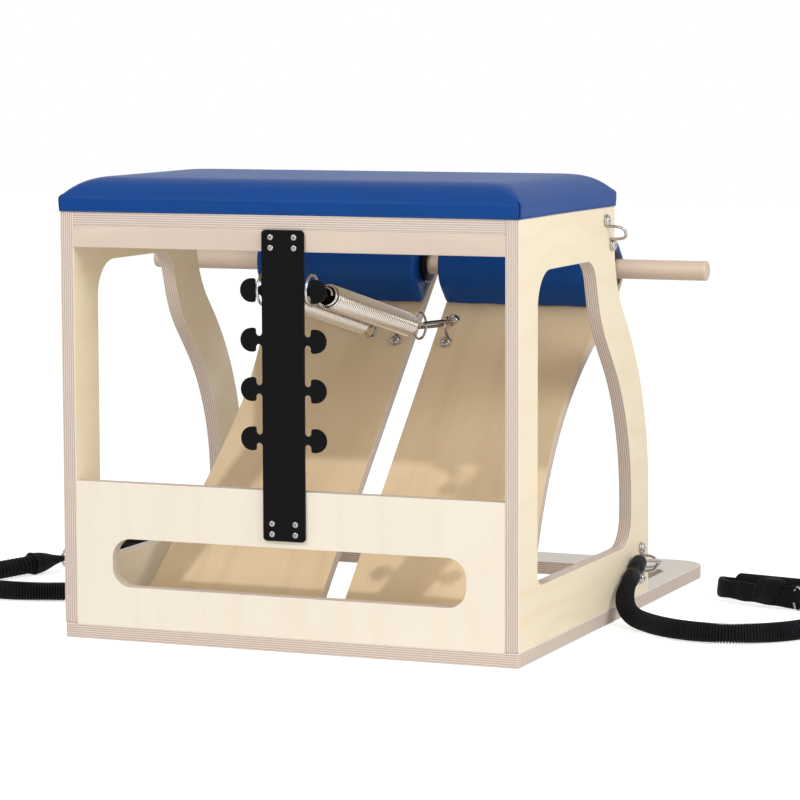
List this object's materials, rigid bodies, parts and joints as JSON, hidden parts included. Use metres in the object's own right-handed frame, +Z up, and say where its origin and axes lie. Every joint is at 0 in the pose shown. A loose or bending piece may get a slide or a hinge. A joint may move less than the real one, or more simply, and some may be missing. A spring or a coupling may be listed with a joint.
{
  "type": "pilates chair",
  "caption": "Plywood pilates chair: a padded seat on a box frame with hinged, spring-loaded split pedals, a spring rack, a locking dowel and stretch cords with handles.",
  "frame": {"origin": "middle of the base's rear border, on its underside, on the floor", "axes": "+X to the user's left along the dowel, +Y from the rear board towards the pedals' free ends, +Z up"},
  "size_m": [1.2229, 0.7832, 0.585],
  "materials": {
    "birch_ply": "clear satin on birch plywood",
    "dowel_wood": "sanded beech",
    "blue_vinyl": "blue upholstery vinyl over foam",
    "black_steel": "satin black powder coat",
    "zinc_steel": "zinc plated",
    "chrome": "polished plate",
    "black_plastic": "moulded nylon",
    "black_rubber": "moulded rubber",
    "black_fabric": "woven nylon",
    "black_foam": "soft foam"
  },
  "bodies": {
    "frame": {"base_board": "birch_ply", "left_side_panel": "birch_ply", "right_side_panel": "birch_ply", "rear_board": "birch_ply", "seat_board": "birch_ply", "rear_rail": "birch_ply", "seat_pad_board": "birch_ply", "seat_cushion": "blue_vinyl", "spring_rack": "black_steel", "rack_screws": "zinc_steel", "frame_screws": "zinc_steel", "eye_screws": "zinc_steel", "left_upper_eye": "chrome", "left_lower_eye": "chrome", "left_base_hinge": "zinc_steel", "left_cord_snap": "chrome", "left_cord_cuff": "black_rubber", "left_cord": "black_fabric", "left_cord_cap": "black_fabric", "left_cord_ring": "chrome", "left_handle_strap": "black_fabric", "left_handle_grip": "black_foam", "right_upper_eye": "chrome", "right_lower_eye": "chrome", "right_base_hinge": "zinc_steel", "right_cord_snap": "chrome", "right_cord_cuff": "black_rubber", "right_cord": "black_fabric", "right_cord_cap": "black_fabric", "right_cord_ring": "chrome", "right_handle_strap": "black_fabric", "right_handle_grip": "black_foam"},
    "pedal_left": {"left_pedal_board": "birch_ply", "left_pad_core": "birch_ply", "left_foot_pad": "blue_vinyl", "left_dowel_collars": "black_plastic", "left_pedal_eye": "chrome", "left_pedal_eye_screws": "zinc_steel", "left_pedal_hinge": "zinc_steel", "left_spring_snap": "chrome"},
    "spring_left": {"left_rack_ring": "chrome", "left_near_plug": "black_plastic", "left_spring_coil": "chrome"},
    "spring_left_end": {"left_far_plug": "black_plastic", "left_far_ring": "chrome"},
    "pedal_right": {"right_pedal_board": "birch_ply", "right_pad_core": "birch_ply", "right_foot_pad": "blue_vinyl", "right_dowel_collars": "black_plastic", "right_pedal_eye": "chrome", "right_pedal_eye_screws": "zinc_steel", "right_pedal_hinge": "zinc_steel", "right_spring_snap": "chrome"},
    "spring_right": {"right_rack_ring": "chrome", "right_near_plug": "black_plastic", "right_spring_coil": "chrome"},
    "spring_right_end": {"right_far_plug": "black_plastic", "right_far_ring": "chrome"},
    "dowel": {"dowel": "dowel_wood"}
  },
  "joints": [
    {"name": "pedal_left_press", "type": "hinge", "parent": "frame", "child": "pedal_left", "pos_m": [0, 0.0615, 0.022], "axis": [-1, 0, 0], "range_deg": [0, 42], "stiffness_Nm_per_rad": 60, "springref_deg": -28.65},
    {"name": "spring_left_swing", "type": "hinge", "parent": "frame", "child": "spring_left", "pos_m": [-0.0325, -0.04407, 0.4461], "axis": [-1, 0, 0], "range_deg": [0, 21]},
    {"name": "spring_left_stretch", "type": "slide", "parent": "spring_left", "child": "spring_left_end", "axis": [0, 0.9796, -0.2011], "range_m": [0, 0.26], "deforming": ["left_spring_coil"]},
    {"name": "pedal_right_press", "type": "hinge", "parent": "frame", "child": "pedal_right", "pos_m": [0, 0.0615, 0.022], "axis": [-1, 0, 0], "range_deg": [0, 42], "stiffness_Nm_per_rad": 60, "springref_deg": -28.65},
    {"name": "spring_right_swing", "type": "hinge", "parent": "frame", "child": "spring_right", "pos_m": [0.0325, -0.04407, 0.4461], "axis": [-1, 0, 0], "range_deg": [0, 21]},
    {"name": "spring_right_stretch", "type": "slide", "parent": "spring_right", "child": "spring_right_end", "axis": [0, 0.9796, -0.2011], "range_m": [0, 0.26], "deforming": ["right_spring_coil"]},
    {"name": "dowel_slide", "type": "slide", "parent": "pedal_left", "child": "dowel", "axis": [-1, 0, 0], "range_m": [0, 0.38]}
  ],
  "couplings": [
    {"joint": "pedal_right_press", "follows": "pedal_left_press", "ratio": 1},
    {"joint": "spring_left_swing", "follows": "pedal_left_press", "ratio": 0.495},
    {"joint": "spring_left_stretch", "follows": "pedal_left_press", "m_per_rad": 0.35},
    {"joint": "spring_right_swing", "follows": "pedal_left_press", "ratio": 0.495},
    {"joint": "spring_right_stretch", "follows": "pedal_left_press", "m_per_rad": 0.35}
  ]
}
